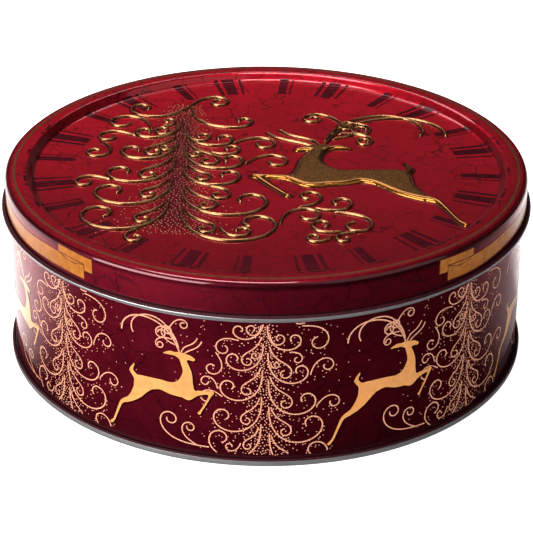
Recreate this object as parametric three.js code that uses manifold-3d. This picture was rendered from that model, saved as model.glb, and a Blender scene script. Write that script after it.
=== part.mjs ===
// Round biscuit tin: a slip-over lid on a three-piece can body.
// Millimetres, +Z up, origin at the centre of the base, front of the tin towards -Y.
import * as THREE from 'three';
import { mergeVertices } from 'three/addons/utils/BufferGeometryUtils.js';
import Module from 'manifold-3d';

const wasm = await Module();
wasm.setup();

// ---- driving dimensions -------------------------------------------------------------
const SIDES = 56;               // flats round every turned sheet, all in one phase
const SHEET = 0.25;             // tinplate thickness
const HEIGHT = 71.7;            // base of the seam to the top of the lid

const LID_RADIUS = 98.0;        // outside of the lid skirt
const SHOULDER = 2.0;           // outer radius of the bend from rim to skirt
const RIM_INNER = 90.4;         // where the flat rim starts to roll down
const PANEL_RADIUS = 86.9;      // where the recessed panel starts
const PANEL_DEPTH = 2.9;        // rim down to panel
const LID_CURL = 1.025;         // outer radius of the outward curl
const LID_CURL_Z = 58.7;        // height of the centre of that curl
const CURL_SWEEP = 290;         // degrees of roll; the last part stays open

const WALL_RADIUS = 97.45;      // outside of the body wall
const WALL_CURL = 1.15;         // outer radius of the inward curl at the mouth
const WALL_CURL_Z = 69.85;
const LOCK_WIDTH = 5.0;         // folded side seam, on the inside
const LOCK_DEPTH = 0.65;
const LOCK_FROM = 4.2;
const LOCK_TO = 68.2;

const SEAM_HEIGHT = 2.7;        // double seam round the base
const SEAM_GAP = 0.32;          // play between the folded layers
const END_PANEL_Z = 3.4;        // raised floor of the tin, middle of the sheet
const END_CORNER = 1.2;         // bend from the floor to the wall that dips to the seam
const BEAD_RADII = [58, 80];    // stiffening beads pressed up into the floor
const BEAD_HEIGHT = 0.7;
const BEAD_HALF = 2.4;

const RELIEF = 0.9;             // how far the embossing stands up
const LINE_HALF = 0.85;         // half width of an embossed scroll

// ---- helpers ------------------------------------------------------------------------
const rad = THREE.MathUtils.degToRad;
const at = (r, z) => new THREE.Vector2(r, z);

// Points on a bend, from one angle to another, both ends included.
function bend(r, z, radius, from, to, steps) {
  const points = [];
  for (let i = 0; i <= steps; i++) {
    const a = rad(from + (to - from) * i / steps);
    points.push(at(r + radius * Math.cos(a), z + radius * Math.sin(a)));
  }
  return points;
}

// Thickens the middle line of a sheet into the outline that is turned about the axis.
function sheetOutline(line) {
  const last = line.length - 1;
  const side = (offset) => line.map((p, i) => {
    const before = p.clone().sub(line[Math.max(i - 1, 0)]).normalize();
    const after = line[Math.min(i + 1, last)].clone().sub(p).normalize();
    const one = i === 0 ? after : before;
    const two = i === last ? before : after;
    const mid = one.clone().add(two).normalize();
    const normal = at(-mid.y, mid.x);
    const mitre = 1 / (normal.x * -one.y + normal.y * one.x);
    return p.clone().addScaledVector(normal, offset * mitre);
  });
  const loop = [...side(-SHEET / 2), ...side(SHEET / 2).reverse()];
  if (THREE.ShapeUtils.area(loop) < 0) {
    loop.reverse();
  }
  if (line[0].x > 0) {
    loop.push(loop[0].clone());
  }
  return loop;
}

// Turns a sheet about +Z.
function turned(line) {
  return new THREE.LatheGeometry(sheetOutline(line), SIDES).rotateX(Math.PI / 2);
}

function toSolid(geometry) {
  geometry.deleteAttribute('normal');
  geometry.deleteAttribute('uv');
  const merged = mergeVertices(geometry, 1e-4);
  const corners = merged.index.array;
  const faces = [];
  for (let i = 0; i < corners.length; i += 3) {
    const [a, b, c] = [corners[i], corners[i + 1], corners[i + 2]];
    if (a !== b && b !== c && c !== a) {
      faces.push(a, b, c);
    }
  }
  return new wasm.Manifold(new wasm.Mesh({
    numProp: 3,
    vertProperties: new Float32Array(merged.attributes.position.array),
    triVerts: new Uint32Array(faces),
  }));
}

function toGeometry(solid) {
  const mesh = solid.getMesh();
  const geometry = new THREE.BufferGeometry();
  geometry.setAttribute('position', new THREE.BufferAttribute(mesh.vertProperties, 3));
  geometry.setIndex(new THREE.BufferAttribute(mesh.triVerts, 1));
  geometry.computeVertexNormals();
  return geometry;
}

// A flat-topped raised band along a path, half(u) wide at its foot.
function band(path, half, slope, bottom, top) {
  const corners = [];
  const faces = [];
  const last = path.length - 1;
  path.forEach((p, i) => {
    const along = path[Math.min(i + 1, last)].clone().sub(path[Math.max(i - 1, 0)]).normalize();
    const across = at(-along.y, along.x);
    const foot = half(i / last);
    const crest = Math.max(foot - slope, foot * 0.35);
    for (const [k, z] of [[-foot, bottom], [foot, bottom], [crest, top], [-crest, top]]) {
      corners.push(p.x + across.x * k, p.y + across.y * k, z);
    }
  });
  const quad = (a, b, c, d) => faces.push(a, b, c, a, c, d);
  for (let i = 0; i < last; i++) {
    for (let k = 0; k < 4; k++) {
      const next = (k + 1) % 4;
      quad(4 * i + k, 4 * i + next, 4 * i + 4 + next, 4 * i + 4 + k);
    }
  }
  quad(3, 2, 1, 0);
  quad(4 * last, 4 * last + 1, 4 * last + 2, 4 * last + 3);
  const build = (triVerts) => new wasm.Manifold(new wasm.Mesh({
    numProp: 3, vertProperties: new Float32Array(corners), triVerts: new Uint32Array(triVerts),
  }));
  const solid = build(faces);
  return solid.volume() > 0 ? solid : build(faces.reverse());
}

// ---- lid: one drawn and embossed sheet ----------------------------------------------
const half = SHEET / 2;
const panelZ = HEIGHT - PANEL_DEPTH - half;
const lidLine = [at(0, panelZ)];
const ROLL_STEPS = 5;
for (let i = 0; i <= ROLL_STEPS; i++) {
  const u = i / ROLL_STEPS;
  const rise = (1 - Math.cos(Math.PI * u)) / 2;
  lidLine.push(at(PANEL_RADIUS + (RIM_INNER - PANEL_RADIUS) * u, panelZ + PANEL_DEPTH * rise));
}
lidLine.push(...bend(LID_RADIUS - SHOULDER, HEIGHT - SHOULDER, SHOULDER - half, 90, 0, 3));
lidLine.push(...bend(LID_RADIUS - SHEET + LID_CURL, LID_CURL_Z, LID_CURL - half,
  180, 180 + CURL_SWEEP, 8));

// A scroll leaves its start along a heading and tightens steadily into its tip. The
// points close up towards the tip, where the line turns fastest.
function scroll(x, y, heading, length, turn, steps, power = 2.4) {
  const path = [at(x, y)];
  let direction = heading;
  let done = 0;
  for (let i = 1; i <= steps; i++) {
    const reached = 1 - (1 - i / steps) ** 1.5;
    const swing = turn * (reached ** (power + 1) - done ** (power + 1)) / 2;
    direction += swing;
    const step = at(Math.cos(direction), Math.sin(direction));
    path.push(path[i - 1].clone().addScaledVector(step, (reached - done) * length));
    direction += swing;
    done = reached;
  }
  return path;
}

// Embossed scroll tree: a leaning trunk and tiers of drooping branches with rolled tips.
const TREE_X = -32;
const TREE_TOP = 57;
const TREE_FOOT = -50;
const TIERS = 6;
const TIER_DROP = 16;
const scrolls = [
  scroll(TREE_X + 7, TREE_FOOT, rad(97), 138, rad(-330), 13, 9),
  scroll(TREE_X - 5, TREE_FOOT, rad(84), 78, rad(20), 4),
];
for (let tier = 0; tier < TIERS; tier++) {
  for (const side of [-1, 1]) {
    const x = TREE_X + (1 + 0.4 * tier) * side;
    const y = TREE_TOP - TIER_DROP * tier + 3 * side;
    const length = 34 + (7 + 1.5 * side) * tier;
    scrolls.push(scroll(x, y, rad(-90 + side * (20 + 4 * tier)), length, side * rad(290), 9));
  }
}

// Embossed leaping deer: limbs as splines with a half width at each end.
function limb(points, from, to, steps) {
  const path = new THREE.SplineCurve(points).getPoints(steps);
  return { path, half: (u) => from + (to - from) * u };
}
const limbs = [
  limb([at(12, -10), at(28, -13), at(41, -9), at(57, -15)], 8.0, 6.4, 7),
  limb([at(15, -10), at(18, 3), at(21, 16)], 7.6, 2.6, 4),
  limb([at(25, 17), at(16, 16), at(8, 14)], 2.9, 1.4, 3),
  limb([at(23, 17), at(29, 21), at(33, 22)], 1.7, 1.0, 3),
  limb([at(58, -10), at(62, -4), at(60, 3)], 2.0, 0.9, 4),
  limb([at(12, -13), at(3, -10), at(-6, -10)], 4.6, 1.3, 4),
  limb([at(-6, -10), at(-3, -19), at(2, -26)], 1.4, 1.1, 3),
  limb([at(55, -16), at(57, -28), at(62, -36), at(67, -48)], 6.6, 1.3, 6),
];
const antlers = [
  scroll(24, 19, rad(52), 62, rad(-300), 10),
  scroll(27, 20, rad(28), 50, rad(250), 9),
  scroll(22, 19, rad(115), 30, rad(250), 7),
];

// The sheet keeps its thickness: every raised band is hollow from below.
function emboss(sheet) {
  const panelTop = HEIGHT - PANEL_DEPTH;
  const raised = [];
  const hollow = [];
  const press = (path, width, slope) => {
    const inner = path.slice(1, -1);
    raised.push(band(path, width, slope, panelTop - 0.1, panelTop + RELIEF));
    hollow.push(band(inner, (u) => width(u) - SHEET, slope,
      panelTop - SHEET - 0.1, panelTop + RELIEF - SHEET));
  };
  for (const path of [...scrolls, ...antlers]) {
    press(path, () => LINE_HALF, 0.5);
  }
  for (const part of limbs) {
    press(part.path, part.half, 0.6);
  }
  const up = wasm.Manifold.union(raised);
  const down = wasm.Manifold.union(hollow);
  return sheet.add(up).subtract(down);
}

// ---- body wall: one rolled sheet, lock-seamed at the back ----------------------------
const wallMid = WALL_RADIUS - half;
const hookMid = WALL_RADIUS + 2 * SEAM_GAP + SHEET + half;
const hookFoot = 2 * SHEET + SEAM_GAP - half;
const wallLine = [
  at(hookMid, SEAM_HEIGHT - SHEET - 0.35),
  ...bend(hookMid - 0.3, hookFoot + 0.3, 0.3, 0, -90, 2),
  ...bend(wallMid + 0.3, hookFoot + 0.3, 0.3, -90, -180, 2),
  ...bend(WALL_RADIUS - WALL_CURL, WALL_CURL_Z, WALL_CURL - half, 0, CURL_SWEEP, 8),
];
const lockSeam = new THREE.BoxGeometry(LOCK_WIDTH, LOCK_DEPTH, LOCK_TO - LOCK_FROM);
const lockFace = WALL_RADIUS - SHEET + 0.05;
lockSeam.translate(0, lockFace - LOCK_DEPTH / 2, (LOCK_FROM + LOCK_TO) / 2);

// ---- bottom end: pressed floor, its edge hooked round the wall's hook -----------------
const chuckMid = WALL_RADIUS - SHEET - 0.3 - half;
const outerMid = hookMid + SHEET + SEAM_GAP;
const coverMid = hookMid - SHEET - SEAM_GAP;
const SEAM_BEND = 0.45;
const endLine = [at(0, END_PANEL_Z)];
for (const radius of BEAD_RADII) {
  for (const [step, rise] of [[-1, 0], [0, 1], [1, 0]]) {
    endLine.push(at(radius + BEAD_HALF * step, END_PANEL_Z + BEAD_HEIGHT * rise));
  }
}
endLine.push(
  ...bend(chuckMid - END_CORNER, END_PANEL_Z - END_CORNER, END_CORNER, 90, 0, 2),
  ...bend(chuckMid + SEAM_BEND, half + SEAM_BEND, SEAM_BEND, 180, 270, 2),
  ...bend(outerMid - SEAM_BEND, half + SEAM_BEND, SEAM_BEND, 270, 360, 2),
  ...bend(hookMid, SEAM_HEIGHT - half - SHEET - SEAM_GAP, SHEET + SEAM_GAP, 0, 180, 3),
  at(coverMid, 2 * SHEET + 2 * SEAM_GAP),
);

// ---- the assembly ---------------------------------------------------------------------
const group = new THREE.Group();
group.name = 'biscuit_tin';

function add(name, geometry, color, roughness, metalness) {
  const material = new THREE.MeshStandardMaterial({ color, roughness, metalness });
  const mesh = new THREE.Mesh(geometry, material);
  mesh.name = name;
  group.add(mesh);
}

const wall = toSolid(turned(wallLine)).add(toSolid(lockSeam));
add('lid', toGeometry(emboss(toSolid(turned(lidLine)))), 0x9c1226, 0.3, 0.5);
add('body_wall', toGeometry(wall), 0x55101f, 0.35, 0.5);
add('bottom_end', toGeometry(toSolid(turned(endLine))), 0xb9b6ae, 0.35, 0.9);

export default group;
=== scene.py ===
import math
import random

import bmesh
import bpy
import numpy as np
from mathutils import Matrix, Vector

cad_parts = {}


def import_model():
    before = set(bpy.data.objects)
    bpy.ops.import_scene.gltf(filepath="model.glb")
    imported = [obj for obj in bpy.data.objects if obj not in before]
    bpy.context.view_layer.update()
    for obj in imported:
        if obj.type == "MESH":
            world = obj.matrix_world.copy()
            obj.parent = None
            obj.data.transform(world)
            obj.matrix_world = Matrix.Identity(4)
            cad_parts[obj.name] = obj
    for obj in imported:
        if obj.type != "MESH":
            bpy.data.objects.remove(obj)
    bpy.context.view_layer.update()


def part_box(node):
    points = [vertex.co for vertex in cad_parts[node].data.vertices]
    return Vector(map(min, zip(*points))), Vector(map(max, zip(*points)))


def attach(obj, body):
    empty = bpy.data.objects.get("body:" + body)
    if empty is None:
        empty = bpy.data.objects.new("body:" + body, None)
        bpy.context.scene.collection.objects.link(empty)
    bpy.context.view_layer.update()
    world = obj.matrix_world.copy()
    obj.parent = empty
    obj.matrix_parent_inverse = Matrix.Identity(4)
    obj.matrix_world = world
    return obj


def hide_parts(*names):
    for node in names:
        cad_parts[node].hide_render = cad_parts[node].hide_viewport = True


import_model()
MM = 0.001


def box_mm(node):
    low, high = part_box(node)
    return low / MM, high / MM


# ---- dimensions, from the frame ----
SHEET = 0.25                              # tinplate
LID_CURL = 1.025                          # outer radius of the lid's rolled edge
WALL_CURL = 1.15                          # outer radius of the wall's rolled mouth
CURL_SWEEP = 290                          # degrees of roll of both
SEAM_HEIGHT = 2.7                         # double seam round the base
SEAM_GAP = 0.32                           # play between its folded layers
lid_low, lid_high = box_mm("lid")
wall_low, wall_high = box_mm("body_wall")
end_low, end_high = box_mm("bottom_end")

HEIGHT = lid_high.z
LID_R = lid_high.x - 2 * LID_CURL + SHEET  # outside of the skirt
LID_CURL_Z = lid_low.z + LID_CURL
SHOULDER = 2.0                            # outer radius of the bend from rim to skirt
RIM_INNER = LID_R - 7.6                   # flat rim starts to roll down here
PANEL_R = LID_R - 11.1                    # edge of the recessed panel
PANEL_DEPTH = 2.9
PANEL_Z = HEIGHT - PANEL_DEPTH
WALL_R = end_high.x - 3 * (SHEET + SEAM_GAP)  # outside of the body wall
WALL_CURL_Z = wall_high.z - WALL_CURL
PRINT_TOP = LID_CURL_Z - 2.3              # the print on the wall stops here, bare tin above
PRINT_FOOT = 3.3
END_Z = 3.4                               # raised floor of the tin, middle of the sheet
BEADS = (58.0, 80.0)                      # radii of the stiffening beads in the floor
SEGMENTS = 288                            # flats round every turned piece

RELIEF = 0.85                             # height of the embossed lines
LINE = 0.50                               # half width of an embossed line
DEER_RELIEF = 1.15                        # height of the embossed deer

# Printed marks are thin plates. How far each stands above its sheet, so that no two faces coincide.
RISE = {
    "rim_line": 0.02, "bar": 0.025, "step_line": 0.03, "shade": 0.04, "dot": 0.05,
    "ribbon_tail": 0.02, "ribbon": 0.035, "outline": 0.045,
    "wall_line": 0.03, "wall_shade": 0.035, "wall_deer": 0.06,
}
TREE_X = -33.0                            # axis of the tree on the lid
PITCH = math.radians(47)                  # from one printed tree to the next on the wall


# ---- making meshes ----
class Shells:
    """Closed shells that become one mesh. A shell has one material index, or one for each face."""

    def __init__(self):
        self.points, self.faces, self.zones = [], [], []

    def add(self, points, faces, zones=0):
        start = len(self.points)
        self.points.extend(points)
        self.faces.extend([tuple(start + i for i in f) for f in faces])
        self.zones.extend(zones if isinstance(zones, list) else [zones] * len(faces))

    def piece(self, name, materials, slot, body, crease=40):
        """One mesh that rides a body; edges bent by more than crease degrees stay sharp."""
        mesh = bpy.data.meshes.new(name)
        mesh.from_pydata([tuple(c * MM for c in p) for p in self.points], [], self.faces)
        for material in materials:
            mesh.materials.append(material)
        mesh.polygons.foreach_set("material_index", self.zones)
        bm = bmesh.new()
        bm.from_mesh(mesh)
        bmesh.ops.recalc_face_normals(bm, faces=bm.faces)
        bm.to_mesh(mesh)
        bm.free()
        mesh.shade_smooth()
        mesh.set_sharp_from_angle(angle=math.radians(crease))
        piece = bpy.data.objects.new(name, mesh)
        bpy.context.scene.collection.objects.link(piece)
        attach(piece, body)
        return piece


def belt(one, two, count):
    """Faces between two closed rows of points that start at one and at two."""
    return [(one + k, one + (k + 1) % count, two + (k + 1) % count, two + k) for k in range(count)]


def bend(r, z, radius, start, end, steps):
    """Points on a bend in the (radius, height) half plane, both ends included."""
    angles = [math.radians(start + (end - start) * i / steps) for i in range(steps + 1)]
    return [(r + radius * math.cos(a), z + radius * math.sin(a)) for a in angles]


def offset_line(line, distance):
    """The line moved sideways by a distance, with mitred corners."""
    p = np.array(line, float)
    step = np.diff(p, axis=0)
    step /= np.linalg.norm(step, axis=1)[:, None]
    one = np.vstack([step[:1], step])
    two = np.vstack([step, step[-1:]])
    mid = one + two
    mid /= np.linalg.norm(mid, axis=1)[:, None]
    normal = np.stack([-mid[:, 1], mid[:, 0]], 1)
    mitre = normal[:, 0] * -one[:, 1] + normal[:, 1] * one[:, 0]
    return [tuple(v) for v in p + normal * (distance / mitre)[:, None]]


def turned_sheet(line, zone):
    """Turns a sheet about +Z. line is the middle of the sheet.

    zone(r, z, side) gives the material; side is 1 on the left of the line as it runs, else -1.
    """
    sides = {-1: offset_line(line, -SHEET / 2), 1: offset_line(line, SHEET / 2)}
    loop = sides[-1] + sides[1][::-1]
    side_of = [-1] * len(line) + [1] * len(line)
    marks = []
    for p, q, side in zip(loop, loop[1:] + loop[:1], side_of):
        marks.append(zone((p[0] + q[0]) / 2, (p[1] + q[1]) / 2, side))
    to_axis = line[0][0] < 1e-6
    points, rows = [], []
    for r, z in loop:
        if r < 1e-6:
            rows.append([len(points)] * SEGMENTS)
            points.append((0, 0, z))
            continue
        rows.append(list(range(len(points), len(points) + SEGMENTS)))
        for k in range(SEGMENTS):
            a = 2 * math.pi * k / SEGMENTS
            points.append((r * math.sin(a), -r * math.cos(a), z))
    faces, zones = [], []
    count = len(rows)
    for i in range(count - 1 if to_axis else count):
        one, two = rows[i], rows[(i + 1) % count]
        for k in range(SEGMENTS):
            n = (k + 1) % SEGMENTS
            corners = []
            for c in (one[k], one[n], two[n], two[k]):
                if c not in corners:
                    corners.append(c)
            faces.append(tuple(corners))
            zones.append(marks[i])
    shells = Shells()
    shells.add(points, faces, zones)
    return shells


# Sections of a ridge as (across, up): half round and flat.
ROUND = [(1, 0)] + [(math.cos(math.pi * i / 8), math.sin(math.pi * i / 8)) for i in range(1, 8)] + [(-1, 0)]
FLAT = [(1, 1), (-1, 1)]


def ridge(shells, path, half, height, place, shape=ROUND, sink=0.12, round_ends=True):
    """A raised line along a path in the flat. half(u) is its half width; place maps (x, y, h)."""
    path = np.array(path, float)
    along = np.gradient(path, axis=0)
    along /= np.maximum(np.linalg.norm(along, axis=1), 1e-9)[:, None]
    travel = np.concatenate([[0], np.cumsum(np.linalg.norm(np.diff(path, axis=0), axis=1))])
    section = [(1, None)] + shape + [(-1, None)]
    points, faces = [], []
    for i, (p, d, s) in enumerate(zip(path, along, travel)):
        w = half(s / travel[-1])
        end = min(s, travel[-1] - s) / w
        grow = math.sqrt(max(1 - (1 - min(end, 1)) ** 2, 0.04)) if round_ends else 1
        for across, up in section:
            k = across * w * grow
            h = -sink if up is None else height * up * grow
            points.append(place(p[0] - d[1] * k, p[1] + d[0] * k, h))
    n = len(section)
    for i in range(len(path) - 1):
        faces += belt(i * n, (i + 1) * n, n)
    faces.append(tuple(range(n)))
    faces.append(tuple((len(path) - 1) * n + k for k in reversed(range(n))))
    shells.add(points, faces)


def dot(shells, x, y, radius, height, place, sink=0.1, corners=6):
    """A small flat dot."""
    points = []
    for h in (-sink, height):
        for k in range(corners):
            a = 2 * math.pi * k / corners
            points.append(place(x + radius * math.cos(a), y + radius * math.sin(a), h))
    faces = [tuple(range(corners)), tuple(range(corners, 2 * corners))]
    shells.add(points, faces + belt(0, corners, corners))


def plate(shells, grid, place, low, high):
    """A thin closed plate over a grid of (x, y) points, from height low to height high."""
    rows, columns = len(grid), len(grid[0])
    points = [place(x, y, h) for h in (low, high) for row in grid for x, y in row]
    under = lambda i, j: i * columns + j
    over = lambda i, j: (rows + i) * columns + j
    faces = []
    for i in range(rows - 1):
        for j in range(columns - 1):
            for at in (under, over):
                faces.append((at(i, j), at(i, j + 1), at(i + 1, j + 1), at(i + 1, j)))
    for i in range(rows - 1):
        for j in (0, columns - 1):
            faces.append((under(i, j), under(i + 1, j), over(i + 1, j), over(i, j)))
    for j in range(columns - 1):
        for i in (0, rows - 1):
            faces.append((under(i, j), under(i, j + 1), over(i, j + 1), over(i, j)))
    shells.add(points, faces)


def ring(shells, inner, outer, steps, place, low, high):
    """A thin closed band all the way round, between two radii."""
    points, rows = [], []
    section = [(inner + (outer - inner) * i / steps, high) for i in range(steps + 1)]
    section += [(r, low) for r, _ in reversed(section)]
    for r, h in section:
        rows.append(len(points))
        for k in range(SEGMENTS):
            a = 2 * math.pi * k / SEGMENTS
            points.append(place(r * math.sin(a), -r * math.cos(a), h))
    faces = []
    for start, after in zip(rows, rows[1:] + rows[:1]):
        faces += belt(start, after, SEGMENTS)
    shells.add(points, faces)


def outline_cells(field, low, high, step):
    """Marching squares: the part of the plane where field > 0, as points (x, y, field) and cells."""
    xs = np.arange(low[0], high[0] + step, step)
    ys = np.arange(low[1], high[1] + step, step)
    values = field(*np.meshgrid(xs, ys))
    values[np.abs(values) < 0.03 * step] = 0.03 * step
    points, cells, index = [], [], {}

    def vertex(key, point):
        if key not in index:
            index[key] = len(points)
            points.append(point)
        return index[key]

    for j in range(len(ys) - 1):
        for i in range(len(xs) - 1):
            corners = [(i, j), (i + 1, j), (i + 1, j + 1), (i, j + 1)]
            v = [values[b, a] for a, b in corners]
            if max(v) <= 0:
                continue
            cell = []
            for k in range(4):
                a, b, va, vb = corners[k], corners[(k + 1) % 4], v[k], v[(k + 1) % 4]
                if va > 0:
                    cell.append(vertex(a, (xs[a[0]], ys[a[1]], va)))
                if (va > 0) != (vb > 0):
                    t = va / (va - vb)
                    x = xs[a[0]] + t * (xs[b[0]] - xs[a[0]])
                    y = ys[a[1]] + t * (ys[b[1]] - ys[a[1]])
                    cell.append(vertex((min(a, b), max(a, b)), (x, y, 0.0)))
            cells.append(cell)
    return points, cells


def relief(shells, points, cells, height, place, sink):
    """Closes a cell plan into a solid: height(field) above the ground, flat below."""
    n = len(points)
    solid = [place(x, y, height(f)) for x, y, f in points]
    solid += [place(x, y, -sink) for x, y, f in points]
    faces = [tuple(c) for c in cells] + [tuple(n + i for i in reversed(c)) for c in cells]
    used = {}
    for c in cells:
        used.update(dict.fromkeys(zip(c, c[1:] + c[:1])))
    for a, b in used:
        if (b, a) not in used:
            faces.append((a, b, n + b, n + a))
    shells.add(solid, faces)


# ---- where flat artwork goes ----
def lid_height(r):
    """Height of the lid's upper face at a radius, over the panel, the step and the rim."""
    u = min(max((r - PANEL_R) / (RIM_INNER - PANEL_R), 0), 1)
    return PANEL_Z + PANEL_DEPTH * (1 - math.cos(math.pi * u)) / 2


def on_lid(x, y, h):
    return (x, y, lid_height(math.hypot(x, y)) + h)


def on_wall(turn):
    """Wraps (distance round, height) onto the outside of the wall, starting at azimuth turn."""
    def place(u, v, h):
        a = turn + u / WALL_R
        return ((WALL_R + h) * math.sin(a), -(WALL_R + h) * math.cos(a), v)
    return place


def on_skirt(u, v, h):
    a = u / LID_R
    return ((LID_R + h) * math.sin(a), -(LID_R + h) * math.cos(a), HEIGHT + v)


# ---- artwork ----
def smooth(t):
    t = min(max(t, 0), 1)
    return t * t * (3 - 2 * t)


def scroll(x, y, heading, length, early, late, power=4.0, step=0.8):
    """A line that leaves along a heading, swings by early degrees and rolls up by late degrees."""
    count = max(int(length / step), 12)
    s = [1 - (1 - i / count) ** 1.3 for i in range(count + 1)]
    path = [(x, y)]
    for a, b in zip(s, s[1:]):
        mid = (a + b) / 2
        d = math.radians(heading + early * smooth(mid / 0.55) + late * mid ** power)
        reach = (b - a) * length
        path.append((path[-1][0] + math.cos(d) * reach, path[-1][1] + math.sin(d) * reach))
    return path


def heading_at(path, i):
    (x0, y0), (x1, y1) = path[i - 1], path[i + 1]
    return math.degrees(math.atan2(y1 - y0, x1 - x0))


# The tree in its own frame: foot of the axis at (0, 0), on the lid's scale.
TREE_TOP = 137.0
TIERS = 5
TIER_DROP = 20.0


def is_clear(path, drawn, gap, free):
    """True if a path stays a gap away from what is drawn, past its free start."""
    p = np.array(path)[int(len(path) * free)::2]
    for other in drawn:
        o = np.array(other)[::2]
        if np.min(np.hypot(p[:, None, 0] - o[None, :, 0], p[:, None, 1] - o[None, :, 1])) < gap:
            return False
    return True


def tree_lines(rng, reach, fill, keep_out=()):
    """Lines of the scroll tree as (path, width factor): strands leave the axis and roll up.

    reach is how far the lowest branches go to the right, fill is how often a side shoot is tried,
    and keep_out is a list of (path, gap).
    """
    lines, drawn = [], {-1: [], 1: []}

    def inside(side, path):
        for x, y in path[::3]:
            down = TREE_TOP - y
            left_edge = min(11 + 0.62 * down, 38)
            right_edge = min(13 + 0.6 * down, max(39, 0.62 * down), reach)
            edge = left_edge if side < 0 else right_edge
            if x > edge or x < 0.5 or y < 1:
                return False
        return all(is_clear([(side * x, y) for x, y in path], [other], gap, 0) for other, gap in keep_out)

    def branch(side, x, y, heading, length, early, late, power=4.0, width=1.0, gap=2.0, free=0.3, least=0.5):
        """Draws a scroll at the largest size, down to the least, that touches no other."""
        size = 1.0
        while size >= least:
            path = scroll(x, y, heading, length * size, early, late, power)
            if is_clear(path, drawn[side], gap, free) and inside(side, path):
                drawn[side].append(path)
                lines.append(([(side * px, py) for px, py in path], width))
                return
            size -= 0.05

    def bowl(tier, side):
        """Height of the lowest point of a tier's big branch."""
        return TREE_TOP - 49 - TIER_DROP * tier - 3.0 * side

    rise = scroll(3, TREE_TOP - 13, 62, 36, -30, -430, 2.2)
    fall = scroll(3, TREE_TOP - 13, -118, 48, -46, -330, 3.4)
    lines.append((rise[::-1] + fall[1:], 1.0))
    drawn[1].append(rise)
    drawn[-1].append([(-x, y) for x, y in fall])
    branch(1, 2.5, TREE_TOP - 16, -86, 50, 58, 340, 4.8, gap=1.6)
    branch(1, 1.5, TREE_TOP - 24, -86, 52, 60, 330, 5.2, gap=1.6)
    for tier in range(TIERS):
        for side in (-1, 1):
            length = (40 + 8.5 * tier) * (1.0 if side < 0 else 1.1)
            branch(side, 1.0 + 0.35 * tier, bowl(tier, side) + 15 + 2.2 * tier, -89, length,
                   56 + 4 * tier + rng.uniform(-3, 8), 335 + rng.uniform(-10, 30), 3.7, gap=1.8, free=0.36)
    for tier in range(TIERS):
        for side in (-1, 1):
            branch(side, 2.2 + 0.5 * tier, bowl(tier, side) + 1.5, -74, 40 + 8 * tier, 92,
                   -390, 2.6, 0.95, gap=1.8, free=0.3, least=0.35)
            branch(side, 2.6 + 0.35 * tier, bowl(tier, side) + 9 + 2.2 * tier, -86, 24 + 5 * tier,
                   70, 360, 2.4, 0.9, gap=1.7, free=0.45, least=0.45)
    for side in (-1, 1):
        for _ in range(fill if side < 0 else 2 * fill):
            main = rng.choice(drawn[side][1:] if len(drawn[side]) > 3 else drawn[side])
            k = rng.randint(int(len(main) * 0.2), int(len(main) * 0.66))
            bow = rng.choice((-1, 1))
            d = heading_at(main, k)
            a = math.radians(d + 90 * bow)
            x, y = main[k][0] + 1.5 * math.cos(a), main[k][1] + 1.5 * math.sin(a)
            branch(side, x, y, d + 6 * bow, rng.uniform(22, 44), 16 * bow, 345 * bow, 2.2, 0.9, gap=2.2,
                   free=0.12, least=0.6)
    return lines


def tree_dots(rng, count, spread=1.0):
    """Dots thick along the axis and thin out to the tips."""
    found = []
    for _ in range(count):
        y = 7 + (TREE_TOP - 20) * rng.random()
        wide = (2.0 + 0.045 * (TREE_TOP - y)) * spread
        found.append((rng.gauss(0, wide), y))
    return found


def spread_out(points, gap):
    """Leaves out points that come closer than a gap to one already kept."""
    kept, cells = [], {}
    for p in points:
        i, j = int(p[0] // gap), int(p[1] // gap)
        near = [q for a in (-1, 0, 1) for b in (-1, 0, 1) for q in cells.get((i + a, j + b), [])]
        if all(math.hypot(p[0] - q[0], p[1] - q[1]) >= gap for q in near):
            kept.append(p)
            cells.setdefault((i, j), []).append(p)
    return kept


def spline(points, steps=8):
    """Catmull-Rom through the points; each has any number of values."""
    p = np.array(points, float)
    out = []
    for i in range(len(p) - 1):
        a, b, c, d = p[max(i - 1, 0)], p[i], p[i + 1], p[min(i + 2, len(p) - 1)]
        for k in range(steps):
            t = k / steps
            out.append(0.5 * (2 * b + (c - a) * t + (2 * a - 5 * b + 4 * c - d) * t * t
                              + (3 * b - a - 3 * c + d) * t ** 3))
    out.append(p[-1])
    return np.array(out)


# Leaping deer facing +x in its own frame, limb by limb: (x, y, half width).
DEER = {
    "body": [(-9.5, 0.6, 3.5), (-3.0, 1.7, 2.35), (2.0, 1.0, 2.9), (6.4, 1.6, 3.9)],
    "neck": [(6.9, 3.6, 3.1), (7.6, 8.4, 1.85), (6.2, 13.0, 1.3)],
    "head": [(5.0, 14.9, 1.4), (7.4, 14.7, 1.1), (9.8, 14.0, 0.65)],
    "ear": [(4.0, 15.0, 0.5), (1.6, 15.2, 0.75), (-0.9, 14.7, 0.15)],
    "tail": [(-12.0, 2.6, 0.9), (-13.6, 4.8, 0.7), (-12.4, 7.6, 0.15)],
    "fore_leg": [(7.8, -0.6, 2.2), (11.6, 0.9, 0.95), (16.2, 1.6, 0.5)],
    "fore_shank": [(16.2, 1.6, 0.45), (14.4, -2.4, 0.34), (12.2, -6.4, 0.36), (11.7, -7.2, 0.55)],
    "hind_leg": [(-9.6, -0.6, 3.3), (-11.8, -4.2, 2.3), (-14.6, -7.2, 1.25), (-18.0, -9.4, 0.65),
                 (-19.6, -12.6, 0.45), (-21.6, -17.6, 0.38), (-23.0, -19.4, 0.55)],
}
DEER_LOW = (-29.5, -22.0)
DEER_HIGH = (18.5, 18.0)


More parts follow.
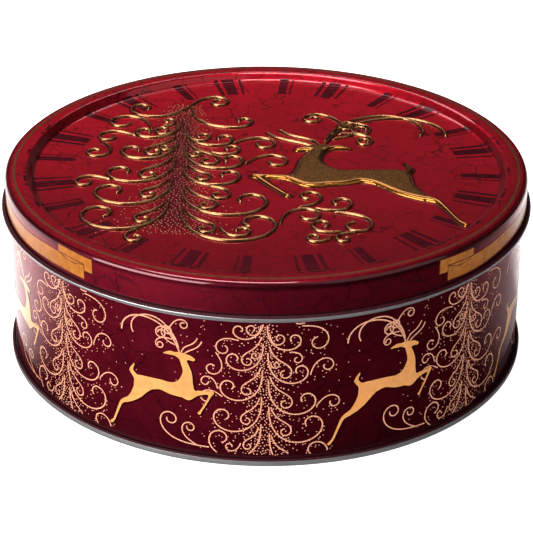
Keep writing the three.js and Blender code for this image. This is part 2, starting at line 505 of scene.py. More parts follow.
def deer_field(x, y, stout=1.0, blend=1.2):
    """Distance inside the deer's outline: positive inside, limbs melted together."""
    total = None
    for limb in DEER.values():
        line = spline(limb)
        line[:, 2] *= np.where(line[:, 2] > 1, stout, 1)
        near = np.full(x.shape, 1e9)
        for a, b in zip(line[:-1], line[1:]):
            v = b[:2] - a[:2]
            t = np.clip(((x - a[0]) * v[0] + (y - a[1]) * v[1]) / max(v @ v, 1e-9), 0, 1)
            gap = np.hypot(x - a[0] - t * v[0], y - a[1] - t * v[1])
            near = np.minimum(near, gap - (a[2] + (b[2] - a[2]) * t))
        if total is None:
            total = near
        else:
            h = np.clip(0.5 + 0.5 * (near - total) / blend, 0, 1)
            total = near * (1 - h) + total * h - blend * h * (1 - h)
    return -total


def antler_lines(size):
    """Two sweeping antlers with a knot of curls, in the deer's own frame."""
    x, y = 5.0, 16.0

    def curl(*given):
        """A scroll, drawn larger round the foot of the antlers."""
        path = scroll(*given)
        return [(x + (px - x) * size, y + (py - y) * size) for px, py in path]

    return [
        (curl(x, y, 112, 31, 34, 128, 2.6, 0.5), 1.0),
        (curl(x - 1.6, y + 4.6, 116, 25, 40, 150, 2.6, 0.5), 0.9),
        (curl(x - 0.3, y + 1.6, 106, 23, -30, 560, 2.0, 0.5), 0.9),
        (curl(x - 4.0, y + 8.0, 60, 16, 20, -480, 2.2, 0.5), 0.8),
        (curl(x - 1.6, y + 2.6, 160, 18, 10, -520, 2.0, 0.5), 0.85),
        (curl(x - 2.6, y + 4.6, 176, 15, -30, 520, 2.0, 0.5), 0.8),
        (curl(x + 0.5, y - 0.2, 74, 9, -62, 60, 2, 0.5), 0.85),
        (curl(x + 1.2, y - 0.6, 44, 9, -30, 60, 2, 0.5), 0.85),
    ]


def under_deer_lines():
    """Scrolls that fill the ground below the belly of a deer on the wall."""
    return [
        (scroll(15.0, -20.6, 178, 37, -8, -460, 3.2, 0.5), 0.9),
        (scroll(10.5, -20.3, 150, 20, -10, -440, 2.4, 0.5), 0.85),
    ]


# ---- materials ----
class Nodes:
    """Short hand for a material's node tree."""

    def __init__(self, name):
        self.material = bpy.data.materials.new(name)
        self.material.use_nodes = True
        self.tree = self.material.node_tree
        self.shader = self.tree.nodes["Principled BSDF"]

    def add(self, kind, **values):
        node = self.tree.nodes.new(kind)
        for key, value in values.items():
            if hasattr(node, key):
                setattr(node, key, value)
            else:
                node.inputs[key.replace("_", " ").title()].default_value = value
        return node

    def link(self, out, into):
        self.tree.links.new(out, into)

    def feed(self, socket, value):
        """Sets a socket to a number or a colour, or links an output to it."""
        if isinstance(value, (int, float)):
            socket.default_value = value
        elif isinstance(value, tuple):
            socket.default_value = (*value, 1.0)
        else:
            self.link(value, socket)

    def where(self):
        return self.add("ShaderNodeTexCoord").outputs["Object"]

    def noise(self, scale, detail=3.0, roughness=0.5):
        node = self.add("ShaderNodeTexNoise", Scale=scale, Detail=detail, Roughness=roughness)
        self.link(self.where(), node.inputs["Vector"])
        return node.outputs["Fac"]

    def ramp(self, value, low, high, to_low=0.0, to_high=1.0):
        node = self.add("ShaderNodeMapRange")
        self.link(value, node.inputs["Value"])
        for key, number in (("From Min", low), ("From Max", high), ("To Min", to_low), ("To Max", to_high)):
            node.inputs[key].default_value = number
        return node.outputs["Result"]

    def math(self, kind, a, b):
        node = self.add("ShaderNodeMath", operation=kind)
        self.feed(node.inputs[0], a)
        self.feed(node.inputs[1], b)
        return node.outputs[0]

    def mix(self, factor, a, b):
        node = self.add("ShaderNodeMix", data_type="RGBA")
        for k, value in ((0, factor), (6, a), (7, b)):
            self.feed(node.inputs[k], value)
        return node.outputs[2]

    def bump(self, value, strength, distance):
        node = self.add("ShaderNodeBump")
        node.inputs["Strength"].default_value = strength
        node.inputs["Distance"].default_value = distance
        self.link(value, node.inputs["Height"])
        self.link(node.outputs["Normal"], self.shader.inputs["Normal"])

    def set(self, **values):
        for key, value in values.items():
            self.feed(self.shader.inputs[key.replace("_", " ")], value)


def crackle(m, cell, width, seed_shift):
    """Fine dark craze lines: 1 on a line, 0 elsewhere, with some lines left out."""
    shift = m.add("ShaderNodeMapping")
    shift.inputs["Location"].default_value = (seed_shift, seed_shift * 0.7, seed_shift * 1.3)
    m.link(m.where(), shift.inputs["Vector"])
    wobble = m.add("ShaderNodeTexNoise", Scale=1.6 / cell, Detail=4.0)
    m.link(shift.outputs[0], wobble.inputs["Vector"])
    bent = m.add("ShaderNodeVectorMath", operation="MULTIPLY_ADD")
    m.link(wobble.outputs["Color"], bent.inputs[0])
    bent.inputs[1].default_value = (cell * 0.55,) * 3
    m.link(shift.outputs[0], bent.inputs[2])
    cells = m.add("ShaderNodeTexVoronoi", feature="DISTANCE_TO_EDGE")
    cells.inputs["Scale"].default_value = 1 / cell
    m.link(bent.outputs[0], cells.inputs["Vector"])
    line = m.ramp(cells.outputs["Distance"], width * 0.4 / cell, width / cell, 1.0, 0.0)
    faded = m.ramp(m.noise(0.55 / cell, 2.0), 0.42, 0.62, 0.15, 1.0)
    return m.math("MULTIPLY", line, faded)


def lacquered_tin(name, dark, light, crack, cell, width, strength):
    """Coloured ink on tinplate under a clear varnish, with a printed craze."""
    m = Nodes(name)
    tone = m.mix(m.ramp(m.noise(45.0, 5.0, 0.6), 0.3, 0.75), dark, light)
    grain = m.ramp(m.noise(900.0, 2.0), 0.35, 0.7, 0.0, 0.22)
    lines = crackle(m, cell, width, cell * 400)
    inked = m.mix(grain, tone, crack)
    colour = m.mix(m.math("MULTIPLY", lines, strength), inked, crack)
    m.set(Roughness=m.ramp(m.noise(300.0, 3.0), 0.3, 0.7, 0.38, 0.44))
    m.set(Metallic=0.92, IOR=1.4, Coat_Weight=1.0, Coat_Roughness=0.06, Coat_IOR=1.4)
    m.set(Specular_Tint=(1.0, 0.5, 0.52))
    return m, colour


def from_axis(m, x, y):
    """Distance from the axis of the tin."""
    flat = m.add("ShaderNodeCombineXYZ")
    m.link(x, flat.inputs[0])
    m.link(y, flat.inputs[1])
    outer = m.add("ShaderNodeVectorMath", operation="LENGTH")
    m.link(flat.outputs[0], outer.inputs[0])
    return outer.outputs["Value"]


def lid_print():
    """Red print, darker round the trunk of the tree; painted shade towards the front and on the shoulder; on
    the skirt a darker burgundy whose bluish cast is a painted reflection.
    """
    m, red = lacquered_tin("lid_red_print", (0.33, 0.0035, 0.011), (0.46, 0.0065, 0.018),
                           (0.05, 0.0015, 0.004), 0.0078, 0.00027, 0.95)
    place = m.add("ShaderNodeSeparateXYZ")
    m.link(m.where(), place.inputs[0])
    x, y, z = place.outputs
    # Painted shade: the lid's red darkens towards the front, where it gets less light.
    front = m.ramp(y, -0.088, 0.045, 0.62, 0.0)
    beside = m.math("ABSOLUTE", m.math("SUBTRACT", x, TREE_X * MM), 0.0)
    spread = m.ramp(y, -0.06, 0.05, 0.016, 0.006)
    trunk = m.math("SUBTRACT", 1.0, m.math("DIVIDE", beside, spread))
    inside = m.math("MULTIPLY", m.ramp(y, -0.064, -0.048), m.ramp(y, 0.045, 0.065, 1.0, 0.0))
    trunk = m.math("MULTIPLY", m.math("MULTIPLY", m.ramp(trunk, 0.0, 0.8), inside), 0.95)
    # The dark red mixed in here is painted shade towards the front, and print round the trunk.
    flat = m.mix(m.math("MAXIMUM", front, trunk), red, (0.085, 0.0022, 0.008))
    # The skirt's darker burgundy: its bluish cast is a painted reflection, a faint haze.
    side = m.mix(0.5, red, (0.14, 0.015, 0.038))
    low = m.ramp(z, (HEIGHT - 1.0) * MM, (HEIGHT - 0.3) * MM, 1.0, 0.0)
    at_edge = m.ramp(from_axis(m, x, y), (LID_R - 2.2) * MM, (LID_R - 1.0) * MM)
    printed = m.mix(m.math("MULTIPLY", at_edge, low), flat, side)
    # Painted shade: the shoulder between rim and skirt is darkened, which dims its broad reflection of the
    # lights.
    shoulder = m.math("MULTIPLY", m.ramp(z, (HEIGHT - 3.4) * MM, (HEIGHT - 2.0) * MM),
                      m.ramp(z, (HEIGHT - 0.6) * MM, (HEIGHT - 0.15) * MM, 1.0, 0.0))
    shoulder = m.math("MULTIPLY", shoulder, at_edge)
    m.set(Base_Color=m.mix(m.math("MULTIPLY", shoulder, 0.8), printed, (0.03, 0.0015, 0.005)))
    return m.material


def wall_print():
    """Dark burgundy, darker near the foot by painted shade."""
    m, ground = lacquered_tin("wall_burgundy_print", (0.15, 0.005, 0.016), (0.26, 0.009, 0.028),
                              (0.02, 0.001, 0.003), 0.009, 0.00026, 0.6)
    up = m.add("ShaderNodeSeparateXYZ")
    m.link(m.where(), up.inputs[0])
    # Painted shade: the wall darkens from 18 mm above the floor down to 3 mm, towards the seam.
    low = m.ramp(up.outputs[2], 0.003, 0.018, 0.45, 0.0)
    m.set(Base_Color=m.mix(low, ground, (0.03, 0.002, 0.006)))
    return m.material


def tinplate(name, colour, roughness, streak, metallic=1.0):
    """Bright tin with fine streaks round the tin and faint handling marks."""
    m = Nodes(name)
    stretch = m.add("ShaderNodeMapping")
    stretch.inputs["Scale"].default_value = (60, 60, 9000) if streak else (500, 500, 500)
    m.link(m.where(), stretch.inputs["Vector"])
    lines = m.add("ShaderNodeTexNoise", Scale=1.0, Detail=3.0)
    m.link(stretch.outputs[0], lines.inputs["Vector"])
    marks = m.noise(120.0, 4.0)
    dark = tuple(c * 0.86 for c in colour)
    m.set(Base_Color=m.mix(m.ramp(lines.outputs["Fac"], 0.3, 0.7), dark, colour))
    m.set(Roughness=m.ramp(marks, 0.3, 0.7, roughness * 0.9, roughness * 1.15))
    m.set(Metallic=metallic)
    m.bump(lines.outputs["Fac"], 0.02, 0.00004)
    return m.material


def gold_relief(name, dark, light, roughness):
    """Metallic gold ink with a fine grain, under a thin varnish."""
    m = Nodes(name)
    tone = m.ramp(m.noise(520.0, 3.0), 0.3, 0.7)
    m.set(Base_Color=m.mix(tone, dark, light))
    m.set(Roughness=m.ramp(m.noise(600.0, 2.0), 0.3, 0.7, roughness * 0.92, roughness * 1.08))
    m.set(Metallic=1.0, Coat_Weight=0.3, Coat_Roughness=0.18, Coat_IOR=1.4)
    return m.material


def ink(name, dark, light, grain=700.0, roughness=0.3, metallic=0.0, coat=1.0):
    """A flat colour with a fine uneven grain under the varnish, for print and for the painted shade and
    shadow marks.
    """
    m = Nodes(name)
    m.set(Base_Color=m.mix(m.ramp(m.noise(grain, 3.0, 0.6), 0.32, 0.68), dark, light))
    m.set(Roughness=m.ramp(m.noise(400.0, 2.0), 0.3, 0.7, roughness * 0.85, roughness * 1.15))
    m.set(Metallic=metallic, IOR=1.4, Specular_IOR_Level=0.2 if metallic < 0.5 else 0.5)
    m.set(Coat_Weight=coat, Coat_Roughness=0.06, Coat_IOR=1.4)
    if metallic > 0.5:
        m.set(Specular_Tint=(1.0, 0.5, 0.5))
    return m.material


RED = lid_print()
BURGUNDY = wall_print()
TIN = tinplate("bare_tin", (0.42, 0.40, 0.415), 0.36, True, 0.8)
LACQUER = tinplate("inner_pale_gold_lacquer", (0.62, 0.56, 0.42), 0.34, False)
GOLD = gold_relief("old_gold_line", (0.23, 0.105, 0.040), (0.40, 0.195, 0.080), 0.28)
GOLD_DEER = gold_relief("old_gold_deer", (0.25, 0.088, 0.011), (0.34, 0.128, 0.019), 0.26)
GOLD_LINE = ink("brown_gold_line", (0.07, 0.026, 0.008), (0.13, 0.055, 0.018), roughness=0.4, metallic=0.7)
GOLD_DOT = ink("dull_gold_dot", (0.34, 0.15, 0.08), (0.50, 0.23, 0.13), roughness=0.6, coat=0.0)
DIAL = ink("dark_maroon_bar", (0.032, 0.0015, 0.005), (0.07, 0.003, 0.010), 500.0, 0.42, 0.9, 0.35)
# Painted shade: the dark strips round the embossed lines and the deer on the lid.
SHADE = ink("burgundy_painted_shade", (0.04, 0.002, 0.005), (0.07, 0.003, 0.008), 500.0, 0.42, 0.9, 0.5)
# Painted shadow: the dark drop shadow beside each deer on the wall.
DEER_SHADE = ink("dark_wine_painted_shadow", (0.03, 0.002, 0.005), (0.05, 0.003, 0.008), 500.0, 0.42, 0.9)
# Painted shadow: near black, where the rolled edge meets the skirt and where the wall meets its seam.
GAP_SHADOW = ink("painted_gap_shadow", (0.020, 0.002, 0.004), (0.035, 0.003, 0.006), 500.0, 0.5, coat=0.0)
# Painted shade at the outer edge of the rim: a darker red without varnish, which dims a highlight there.
EDGE = ink("satin_edge_painted_shade", (0.10, 0.002, 0.006), (0.14, 0.003, 0.008), 500.0, 0.5, 0.9, 0.0)
PEACH = ink("peach_gold_print", (0.45, 0.19, 0.115), (0.58, 0.265, 0.165))
PEACH_DEER = ink("gold_deer_print", (0.47, 0.19, 0.052), (0.55, 0.235, 0.072), 350.0)
RIBBON = ink("orange_gold_ribbon", (0.22, 0.066, 0.006), (0.31, 0.10, 0.011), 350.0, coat=0.25)
RIBBON_LINE = ink("ribbon_outline", (0.05, 0.010, 0.006), (0.08, 0.016, 0.008), coat=0.25)


# ---- the three pieces of sheet ----
half = SHEET / 2


def make_lid():
    """Panel, step, rim, shoulder, skirt and outward rolled edge."""
    line = [(0, PANEL_Z - half), (PANEL_R * 0.5, PANEL_Z - half)]
    steps = 16
    for i in range(steps + 1):
        r = PANEL_R + (RIM_INNER - PANEL_R) * i / steps
        line.append((r, lid_height(r) - half))
    line += bend(LID_R - SHOULDER, HEIGHT - SHOULDER, SHOULDER - half, 90, 0, 10)
    line += [(LID_R - half, LID_CURL_Z + 1.3)]
    line += bend(LID_R - SHEET + LID_CURL, LID_CURL_Z, LID_CURL - half, 180, 180 + CURL_SWEEP, 26)

    printed, bare, inner, edge_band, lip = range(5)
    curl_top = LID_CURL_Z + 0.45  # the painted shadow of the gap under the skirt covers the top of the rolled edge

    def zone(r, z, side):
        # Painted shadow on the rolled edge, in the gap below the skirt.
        if z < LID_CURL_Z + 1.2 and r > LID_R - 0.1:
            return edge_band if side > 0 or z > curl_top else bare
        # The outer edge of the rim gets the painted shade of EDGE.
        if side > 0 and r > LID_R - SHOULDER and z > HEIGHT - 0.2:
            return lip
        return printed if side > 0 else inner

    shells = turned_sheet(line, zone)
    piece = shells.piece("lid_sheet", [RED, TIN, LACQUER, GAP_SHADOW, EDGE], "lid_print", "lid")
    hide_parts("lid")


def make_wall():
    """The body: hook at the foot, straight printed wall, rolled mouth."""
    middle = WALL_R - half
    hook = WALL_R + 2 * SEAM_GAP + SHEET + half
    foot = 2 * SHEET + SEAM_GAP - half
    fold = 0.3  # bend radius of the hook
    line = [(hook, SEAM_HEIGHT - SHEET - 0.35)]
    line += bend(hook - fold, foot + fold, fold, 0, -90, 5)
    line += bend(middle + fold, foot + fold, fold, -90, -180, 5)
    line += [(middle, PRINT_FOOT), (middle, PRINT_TOP)]
    line += bend(WALL_R - WALL_CURL, WALL_CURL_Z, WALL_CURL - half, 0, CURL_SWEEP, 26)

    printed, bare, inner, edge_band = range(4)

    def zone(r, z, side):
        if r < middle:
            return inner if z < WALL_CURL_Z - 0.6 else bare
        # Painted shadow: a dark band on the wall just above the seam.
        if 2 < z < PRINT_FOOT:
            return edge_band
        return printed if PRINT_FOOT < z < PRINT_TOP else bare

    shells = turned_sheet(line, zone)
    piece = shells.piece("wall_sheet", [BURGUNDY, TIN, LACQUER, GAP_SHADOW], "wall_print", "tin")
    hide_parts("body_wall")


def make_side_seam():
    """The folded lock seam up the inside of the wall, at the back."""
    shells = Shells()
    width, depth, low, high = 5.0, 0.65, 4.2, 68.2
    face = WALL_R - SHEET + 0.05
    section = [(-width / 2, 0), (-width / 2 + 0.3, -depth), (width / 2 - 0.3, -depth), (width / 2, 0)]
    points = [(x, face + y, z) for z in (low, high) for x, y in section]
    shells.add(points, [(0, 1, 2, 3), (4, 5, 6, 7)] + belt(0, 4, 4))
    shells.piece("side_seam", [TIN], "bare_tinplate", "tin", 30)


def make_end():
    """The floor of the tin, folded round the hook of the wall."""
    hook = WALL_R + 2 * SEAM_GAP + SHEET + half
    chuck = WALL_R - SHEET - 0.3 - half
    outer = hook + SHEET + SEAM_GAP
    cover = hook - SHEET - SEAM_GAP
    corner, soft = 1.2, 0.45  # bend radii at the floor and at the foot of the seam
    bead, rise = 2.4, 0.7  # half width and height of a bead
    line = [(0, END_Z), (30, END_Z)]
    for radius in BEADS:
        for i in range(13):
            u = i / 6 - 1
            line.append((radius + bead * u, END_Z + rise * (1 + math.cos(math.pi * u)) / 2))
    line += bend(chuck - corner, END_Z - corner, corner, 90, 0, 7)
    line += bend(chuck + soft, half + soft, soft, 180, 270, 6)
    line += bend(outer - soft, half + soft, soft, 270, 360, 6)
    line += bend(hook, SEAM_HEIGHT - half - SHEET - SEAM_GAP, SHEET + SEAM_GAP, 0, 180, 12)
    line += [(cover, 2 * SHEET + 2 * SEAM_GAP)]

    bare, inner, edge_band = range(3)

    def zone(r, z, side):
        # Painted shadow: the top of the seam, against the wall, is dark.
        if z > SEAM_HEIGHT - 0.45 and r > WALL_R:
            return edge_band
        return inner if side > 0 and r < chuck - 0.3 and z > 1 else bare

    shells = turned_sheet(line, zone)
    piece = shells.piece("end_sheet", [TIN, LACQUER, GAP_SHADOW], "bare_tinplate", "tin")
    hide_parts("bottom_end")


# ---- embossing and print on the lid ----
LID_TREE_FOOT = -63.5
DEER_AT = (30.7, -11.4)                   # middle of the deer on the lid
DEER_SCALE = (-1.74, 1.93)                # it faces left there
RIM_LINE = (94.15, 95.0)                  # inner and outer radius
STEP_LINE = (88.2, 89.1)
BAR_ENDS = (73.0, 91.2)
# Bars of one dial group: degrees from its middle, width in degrees.
BAR_GROUP = ((0, 3.3), (-3.4, 0.75), (3.2, 1.1), (14.2, 2.4), (11.8, 0.5))


def deer_to_lid(x, y):
    """The deer on the lid is longer than on the wall and reaches further forwards."""
    forward = 0.042 * max(x - 4, 0) ** 2
    return (DEER_AT[0] + DEER_SCALE[0] * x - forward, DEER_AT[1] + DEER_SCALE[1] * y)


def deer_on_lid(x, y, h):
    return on_lid(*deer_to_lid(x, y), h)


def lid_lines():
    """The scrolls on the lid as (path, width factor): the tree, kept clear of the deer, and antlers."""
    antlers = [([deer_to_lid(x, y) for x, y in path], width) for path, width in antler_lines(1.28)]
    to_tree = lambda x, y: (x - TREE_X, y - LID_TREE_FOOT)
    keep_out = [([to_tree(x, y) for x, y in path], 2.4) for path, _ in antlers]
    for limb in DEER.values():
        line = [to_tree(*deer_to_lid(x, y)) for x, y, _ in spline(limb)]
        keep_out.append((line, 2 + 1.4 * max(w for _, _, w in limb)))
    tree = tree_lines(random.Random(3), 76, 110, keep_out)
    return [([(TREE_X + x, LID_TREE_FOOT + y) for x, y in path], w) for path, w in tree] + antlers


def make_lid_relief():
    """Embossed scrolls and deer, with painted shade along their edges."""
    scrolls, shade, deer = Shells(), Shells(), Shells()
    sink = 0.05
    for path, width in lid_lines():
        swell = lambda u, w=width: LINE * w * (0.55 + 0.45 * smooth(u / 0.18))
        ridge(scrolls, path, swell, RELIEF, on_lid)
        # Painted shade: a wider, flat dark strip under each embossed line.
        soft = lambda u, w=width: LINE * w * (1.5 + 0.55 * smooth(u / 0.18))
        ridge(shade, path, soft, RISE["shade"], on_lid, FLAT, sink)
    scrolls.piece("lid_scrolls", [GOLD], "gold_relief", "lid", 80)

    full = lambda x, y: deer_field(x, y, 1.15)
    around = lambda x, y: full(x, y) + 0.42  # the painted shade shows this wide round the deer
    points, cells = outline_cells(around, DEER_LOW, DEER_HIGH, 0.3)
    relief(shade, points, cells, lambda f: RISE["shade"], deer_on_lid, sink)
    shade.piece("lid_scroll_shade", [SHADE], "lid_print", "lid")

    points, cells = outline_cells(full, DEER_LOW, DEER_HIGH, 0.2)
    edge = 0.95  # width of the rounded edge

    def rise(f):
        """Height at a distance f inside the outline: a quarter round, then flat."""
        return DEER_RELIEF * math.sqrt(max(1 - (1 - min(f, edge) / edge) ** 2, 0)) + 0.02

    relief(deer, points, cells, rise, deer_on_lid, 0.12)
    deer.piece("lid_deer", [GOLD_DEER], "gold_relief", "lid", 60)


def make_lid_print():
    """Dots of the tree, ring lines and dial bars."""
    rng = random.Random(5)
    dots = Shells()
    for x, y in spread_out(tree_dots(rng, 3600), 1.1):
        place = (TREE_X + x, LID_TREE_FOOT + y)
        if math.hypot(*place) < PANEL_R - 4:
            dot(dots, *place, rng.uniform(0.20, 0.27), RISE["dot"], on_lid)
    dots.piece("lid_dots", [GOLD_DOT], "gold_line", "lid")

    lines = Shells()
    low = -0.03
    ring(lines, *RIM_LINE, 1, on_lid, low, RISE["rim_line"])
    ring(lines, *STEP_LINE, 3, on_lid, low, RISE["step_line"])
    lines.piece("lid_ring_lines", [GOLD_LINE], "gold_line", "lid")

    bars = Shells()
    inner, outer = BAR_ENDS
    for group in range(12):
        middle = math.radians(30 * group + 11)
        for shift, wide in BAR_GROUP:
            a0 = middle + math.radians(shift - wide / 2)
            a1 = middle + math.radians(shift + wide / 2)
            radii = [inner + (outer - inner) * i / 18 for i in range(19)]
            grid = [[(r * math.sin(a), -r * math.cos(a)) for a in (a0, (a0 + a1) / 2, a1)] for r in radii]
            plate(bars, grid, on_lid, low, RISE["bar"])
    bars.piece("lid_dial_bars", [DIAL], "dial_marks", "lid")


def make_ribbons():
    """Blank printed ribbons round the skirt, one to the left and one to the right.

    Each has a short tail, folded behind it, towards the front. Heights are measured down from the
    top of the lid.
    """
    gold, dark = Shells(), Shells()
    outline = 0.32  # width of the printed outline

    def wave(u, top):
        return top + 0.35 * math.sin(u / 7.5)

    def strip(shells, u0, u1, low, high, rise=RISE["outline"]):
        count = max(int(abs(u1 - u0) / 1.2), 2)
        us = [u0 + (u1 - u0) * i / count for i in range(count + 1)]
        plate(shells, [[(u, low(u)), (u, high(u))] for u in us], on_skirt, -0.05, rise)

    to_mm = LID_R * math.pi / 180
    for side in (-1, 1):
        tip, start, fold, far = (side * a * to_mm for a in (37.0, 39.3, 47.0, 142.0))
        strip(gold, tip, fold, lambda u: wave(u, -7.3), lambda u: wave(u, -1.9), RISE["ribbon_tail"])
        strip(gold, start, far, lambda u: wave(u, -10.7), lambda u: wave(u, -4.9), RISE["ribbon"])
        for low, a, b in ((-10.85, start, far), (-4.95, start, far), (-7.4, tip, start), (-1.9, tip, fold)):
            strip(dark, a, b, lambda u: wave(u, low), lambda u: wave(u, low + outline))

        def bulge(u):
            """The rounded edge of the fold, hanging below the upper edge of the ribbon."""
            part = min(max((u - start) / (fold - start), 0), 1)
            return wave(u, -4.9) - 1.5 * math.sin(math.pi * part)

        strip(dark, start, fold, bulge, lambda u: bulge(u) + outline)
        for a, low, high in ((start, -10.8, -4.8), (tip, -7.3, -1.8)):
            strip(dark, a, a + side * outline, lambda u: wave(u, low), lambda u: wave(u, high))
    gold.piece("skirt_ribbons", [RIBBON], "ribbon", "lid")
    dark.piece("skirt_ribbon_lines", [RIBBON_LINE], "ribbon_line", "lid")


# ---- print on the wall ----
WALL_TREE_SCALE = 0.60
WALL_TREE_FOOT = -4.5
WALL_LINE = 0.235                         # half width of a printed line
WALL_SINK = 0.04
DEER_BASE = 26.3                          # height of the deer's middle on the wall
DEER_AHEAD = 2.5


def inside_print(v, edge_band=0.3):
    return PRINT_FOOT + edge_band < v < PRINT_TOP - edge_band


def cut_to_print(path):
    """The stretches of a path that lie on the printed part of the wall."""
    runs, run = [], []
    for p in path:
        if inside_print(p[1]):
            run.append(p)
        elif run:
            runs.append(run)
            run = []
    return [r for r in runs + [run] if len(r) > 3]


def wall_line(shells, path, half_width, place):
    ridge(shells, path, lambda u: half_width, RISE["wall_line"], place, FLAT, WALL_SINK, False)


def to_wall(x, y):
    """From the tree's own frame to distance round and height on the wall."""
    return (x * WALL_TREE_SCALE, WALL_TREE_FOOT + y * WALL_TREE_SCALE)


def wall_spots(lines):
    """Dots (x, y, radius) of one tree: along its axis, below its lines and strewn beside it."""
    rng = random.Random(8)
    spots = [(*to_wall(x, y), 0.26) for x, y in tree_dots(rng, 1500, 0.85)]
    for path, _ in lines:
        for x, y in path[2:-2]:
            if rng.random() < 0.5:
                aside = rng.gauss(0, 1.0)
                below = 0.7 + abs(rng.gauss(0, 1.1))
                spots.append((x + aside, y - below, rng.uniform(0.19, 0.26)))
    for _ in range(230):
        spots.append((rng.triangular(-40, 40, 0), rng.uniform(5, 56), 0.2))
    return [spot for spot in spread_out(spots, 0.75) if inside_print(spot[1], 0.5)]


def print_trees(scrolls, dots):
    """Seven trees, the middle one at the front; none where the side seam is."""
    tree = tree_lines(random.Random(11), 45, 60)
    lines = [([to_wall(x, y) for x, y in path[::2]], w) for path, w in tree]
    spots = wall_spots(lines)
    for k in range(-3, 4):
        place = on_wall(k * PITCH)
        for path, width in lines:
            for run in cut_to_print(path):
                wall_line(scrolls, run, WALL_LINE * width, place)
        for x, y, r in spots:
            dot(dots, x, y, r, RISE["wall_line"], place, WALL_SINK)


def print_deer(scrolls, deer, shade):
    """A deer on either side of every tree: its painted drop shadow, deer, antlers and the scrolls below it.
    """
    slim = lambda x, y: deer_field(x, y, 0.86)
    # Painted shadow: the deer's outline, widened and moved sideways and down.
    beside = lambda x, y: slim(x - 0.35, y + 0.25) + 0.3
    points, cells = outline_cells(slim, DEER_LOW, DEER_HIGH, 0.3)
    shade_points, shade_cells = outline_cells(beside, DEER_LOW, DEER_HIGH, 0.3)
    for k in range(-4, 4):
        place = on_wall((k + 0.5) * PITCH + math.radians(1.7))
        moved = lambda x, y, h, p=place: p(x + DEER_AHEAD, y + DEER_BASE, h)
        relief(deer, points, cells, lambda f: RISE["wall_deer"], moved, WALL_SINK)
        relief(shade, shade_points, shade_cells, lambda f: RISE["wall_shade"], moved, WALL_SINK)
        for path, width in antler_lines(1.02) + under_deer_lines():
            lifted = [(x + DEER_AHEAD, y + DEER_BASE) for x, y in path]
            for run in cut_to_print(lifted):
                wall_line(scrolls, run, WALL_LINE * width * 1.1, place)


def make_wall_print():
    scrolls, dots, deer, shade = Shells(), Shells(), Shells(), Shells()
    print_trees(scrolls, dots)
    print_deer(scrolls, deer, shade)
    scrolls.piece("wall_scrolls", [PEACH], "wall_motif", "tin")
    dots.piece("wall_dots", [PEACH], "wall_motif", "tin")
    deer.piece("wall_deer", [PEACH_DEER], "wall_motif", "tin")
    shade.piece("wall_deer_shade", [DEER_SHADE], "wall_print", "tin")


make_lid()
make_wall()
make_side_seam()
make_end()
make_lid_relief()
make_lid_print()
make_ribbons()
make_wall_print()


# ---- floor, light and camera ----
def emitter(name, strength=1.0, attribute=None):
    """White glow, as strong as given or as an attribute of the mesh says, point by point."""
    material = bpy.data.materials.new(name)
    material.use_nodes = True
    tree = material.node_tree
    tree.nodes.remove(tree.nodes["Principled BSDF"])
    glow = tree.nodes.new("ShaderNodeEmission")
    glow.inputs["Color"].default_value = (1, 1, 1, 1)
    glow.inputs["Strength"].default_value = strength
    if attribute:
        level = tree.nodes.new("ShaderNodeAttribute")
        level.attribute_name = attribute
        tree.links.new(level.outputs["Fac"], glow.inputs["Strength"])
    tree.links.new(glow.outputs[0], tree.nodes["Material Output"].inputs["Surface"])
    return material


def stage_mesh(name, points, faces, material):
    mesh = bpy.data.meshes.new(name)
    mesh.from_pydata(points, [], faces)
    mesh.materials.append(material)
    thing = bpy.data.objects.new(name, mesh)
    bpy.context.scene.collection.objects.link(thing)
    return thing


def seen_only_in_reflections(thing):
    for ray in ("camera", "diffuse", "shadow", "transmission"):
        setattr(thing, "visible_" + ray, False)


def floor():
    """A plain white floor, left out of reflections."""
    m = Nodes("white_floor")
    m.set(Base_Color=(0.85, 0.85, 0.85), Roughness=0.9)
    m.set(Emission_Color=(1.0, 1.0, 1.0), Emission_Strength=0.90)
    size = 12
    corners = [(-size, -size, 0), (size, -size, 0), (size, size, 0), (-size, size, 0)]
    thing = stage_mesh("floor", corners, [(0, 1, 2, 3)], m.material)
    thing.visible_glossy = False


def floor_reflections():
    """Bright floor beside and behind the tin, as the lacquered wall reflects it; dark in front."""
    radii = [0.1035, 0.2, 0.35, 0.6, 1.2]
    count = 72
    points, faces, levels = [], [], []
    for r in radii:
        for k in range(count):
            a = 2 * math.pi * k / count - math.pi
            points.append((r * math.sin(a), -r * math.cos(a), 0.0004))
            turn = math.degrees(a)
            left = smooth((-turn - 62) / 34) * 1.8
            right = max(smooth((turn - 92) / 26) * 1.7, smooth((turn - 60) / 40) * 0.35)
            back = max(smooth((turn - 128) / 24), smooth((-turn - 158) / 20)) * 5.0
            levels.append(max(left, right, back))
    for i in range(len(radii) - 1):
        faces += belt(i * count, (i + 1) * count, count)
    card = stage_mesh("floor_reflection", points, faces, emitter("floor_glow", attribute="glow"))
    glow = card.data.attributes.new("glow", "FLOAT", "POINT")
    glow.data.foreach_set("value", levels)
    seen_only_in_reflections(card)


def area_light(name, width, height, radiance):
    """A rectangular softbox, with its power worked out from its radiance."""
    data = bpy.data.lights.new(name, "AREA")
    data.shape = "RECTANGLE"
    data.size, data.size_y = width, height
    data.energy = radiance * math.pi * width * height
    lamp = bpy.data.objects.new(name, data)
    bpy.context.scene.collection.objects.link(lamp)
    return lamp


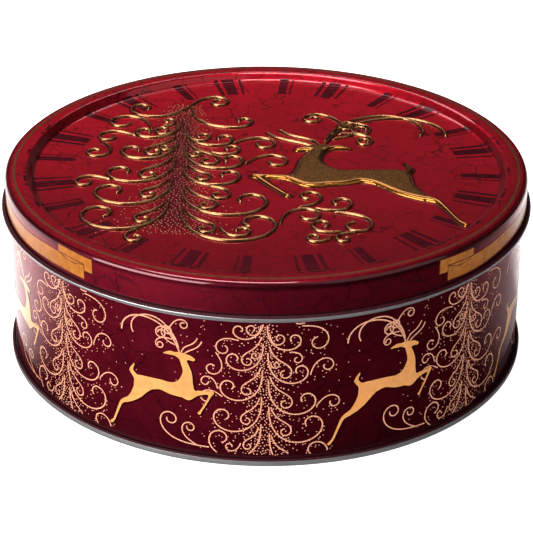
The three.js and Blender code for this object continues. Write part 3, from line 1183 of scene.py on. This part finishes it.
def overhead(name, x0, x1, y0, y1, height, radiance):
    """A level softbox above the tin, given by its sides."""
    lamp = area_light(name, x1 - x0, y1 - y0, radiance)
    lamp.location = ((x0 + x1) / 2, (y0 + y1) / 2, height)


def softbox(name, azimuth, elevation, distance, width, height, radiance):
    """A softbox that faces the lid from a direction and distance."""
    a, e = math.radians(azimuth), math.radians(elevation)
    lamp = area_light(name, width, height, radiance)
    aim = Vector((0, 0, HEIGHT * MM))
    away = Vector((math.sin(a) * math.cos(e), -math.cos(a) * math.cos(e), math.sin(e)))
    lamp.location = aim + away * distance
    lamp.rotation_euler = away.to_track_quat("Z", "Y").to_euler()


def backdrop():
    """A faint glow behind the tin, seen only in reflections."""
    reach, wide, high = 2.0, 3.0, 0.846
    corners = [(-wide, reach, 0), (wide, reach, 0), (wide, reach, high), (-wide, reach, high)]
    card = stage_mesh("backdrop_reflection", corners, [(0, 1, 2, 3)], emitter("backdrop_glow", 0.07))
    seen_only_in_reflections(card)


def camera():
    """In front of the tin, looking down at it, with a slight roll."""
    elevation = math.radians(27.733)
    distance = 0.7041
    aim = Vector((0.00019, 0, 0.02645))
    data = bpy.data.cameras.new("camera")
    data.sensor_width = 36
    data.lens = 122.373
    eye = bpy.data.objects.new("camera", data)
    bpy.context.scene.collection.objects.link(eye)
    back = Vector((0, -math.cos(elevation), math.sin(elevation)))
    eye.location = aim + back * distance
    turn = back.to_track_quat("Z", "Y").to_matrix() @ Matrix.Rotation(math.radians(0.316), 3, "Z")
    eye.rotation_euler = turn.to_euler()
    bpy.context.scene.camera = eye


def world():
    """A dark studio."""
    dark = bpy.data.worlds.new("studio")
    dark.use_nodes = True
    dark.node_tree.nodes["Background"].inputs["Color"].default_value = (0.03, 0.03, 0.03, 1)
    bpy.context.scene.world = dark


floor()
floor_reflections()
backdrop()
overhead("key", -0.76, 0.16, -0.36, 0.08, 1.4, 14.0)
softbox("left", -48, 12, 1.6, 1.45, 0.95, 11.0)
softbox("right_fill", 52, 38, 1.5, 1.5, 1.4, 0.7)
softbox("behind", -160, 46, 1.6, 1.3, 0.45, 4.6)
camera()
world()
bpy.context.scene.view_settings.view_transform = "Standard"
